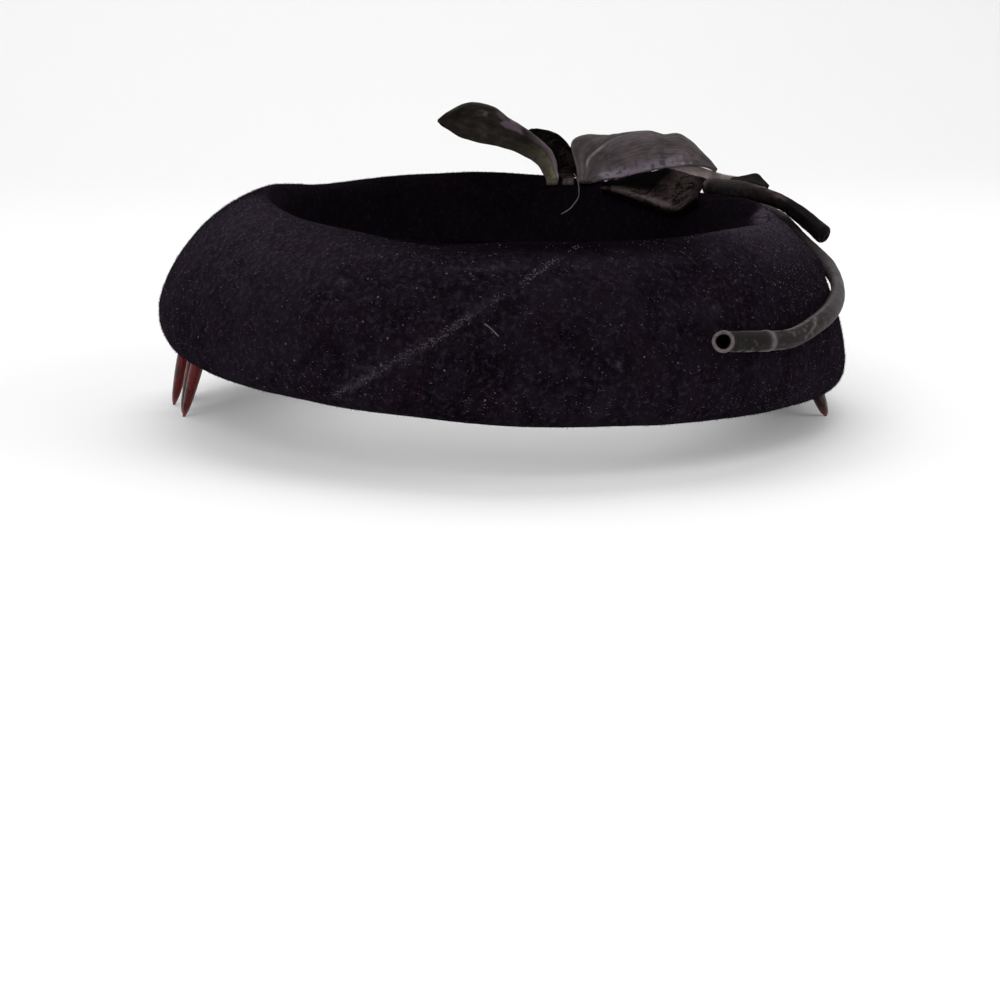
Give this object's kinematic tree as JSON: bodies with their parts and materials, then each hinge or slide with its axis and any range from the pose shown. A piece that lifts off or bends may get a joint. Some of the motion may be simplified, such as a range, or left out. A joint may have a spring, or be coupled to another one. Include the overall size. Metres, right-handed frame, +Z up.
{
  "type": "fascinator",
  "caption": "Open-crown velvet hat: a deep soft ring over a stiff hollow form, trimmed with curling leather and velvet leaves and rolled leather stems, held in the hair by two side combs.",
  "frame": {"origin": "middle of the hat's box, on the surface that the teeth of its combs stand on", "axes": "+Z up, -Y the side over the wearer's face, +X the side that carries the rolled stems"},
  "size_m": [0.172, 0.181, 0.0751],
  "materials": {
    "velvet": "worn purple-black velvet pile",
    "velvet_brown": "crushed brown velvet",
    "leather_olive": "matte suede side of thin leather",
    "leather_purple": "glazed grey-purple leather, worn at the edges",
    "leather_grey": "smooth grey-mauve leather with light creases",
    "leather_pale": "pale beige flesh side of thin leather",
    "plastic_red": "translucent red plastic",
    "plastic_brown": "translucent brown plastic"
  },
  "bodies": {
    "root": {"velvet_ring": "velvet", "leaf_left": "leather_olive", "leaf_back": "velvet_brown", "leaf_right": "leather_purple", "leaf_pale": "leather_pale", "leaf_velvet": "velvet_brown", "stem_loop": "leather_grey", "stem_short": "leather_grey", "stem_flap": "leather_grey", "comb_left": "plastic_red", "comb_right": "plastic_brown"}
  },
  "joints": []
}
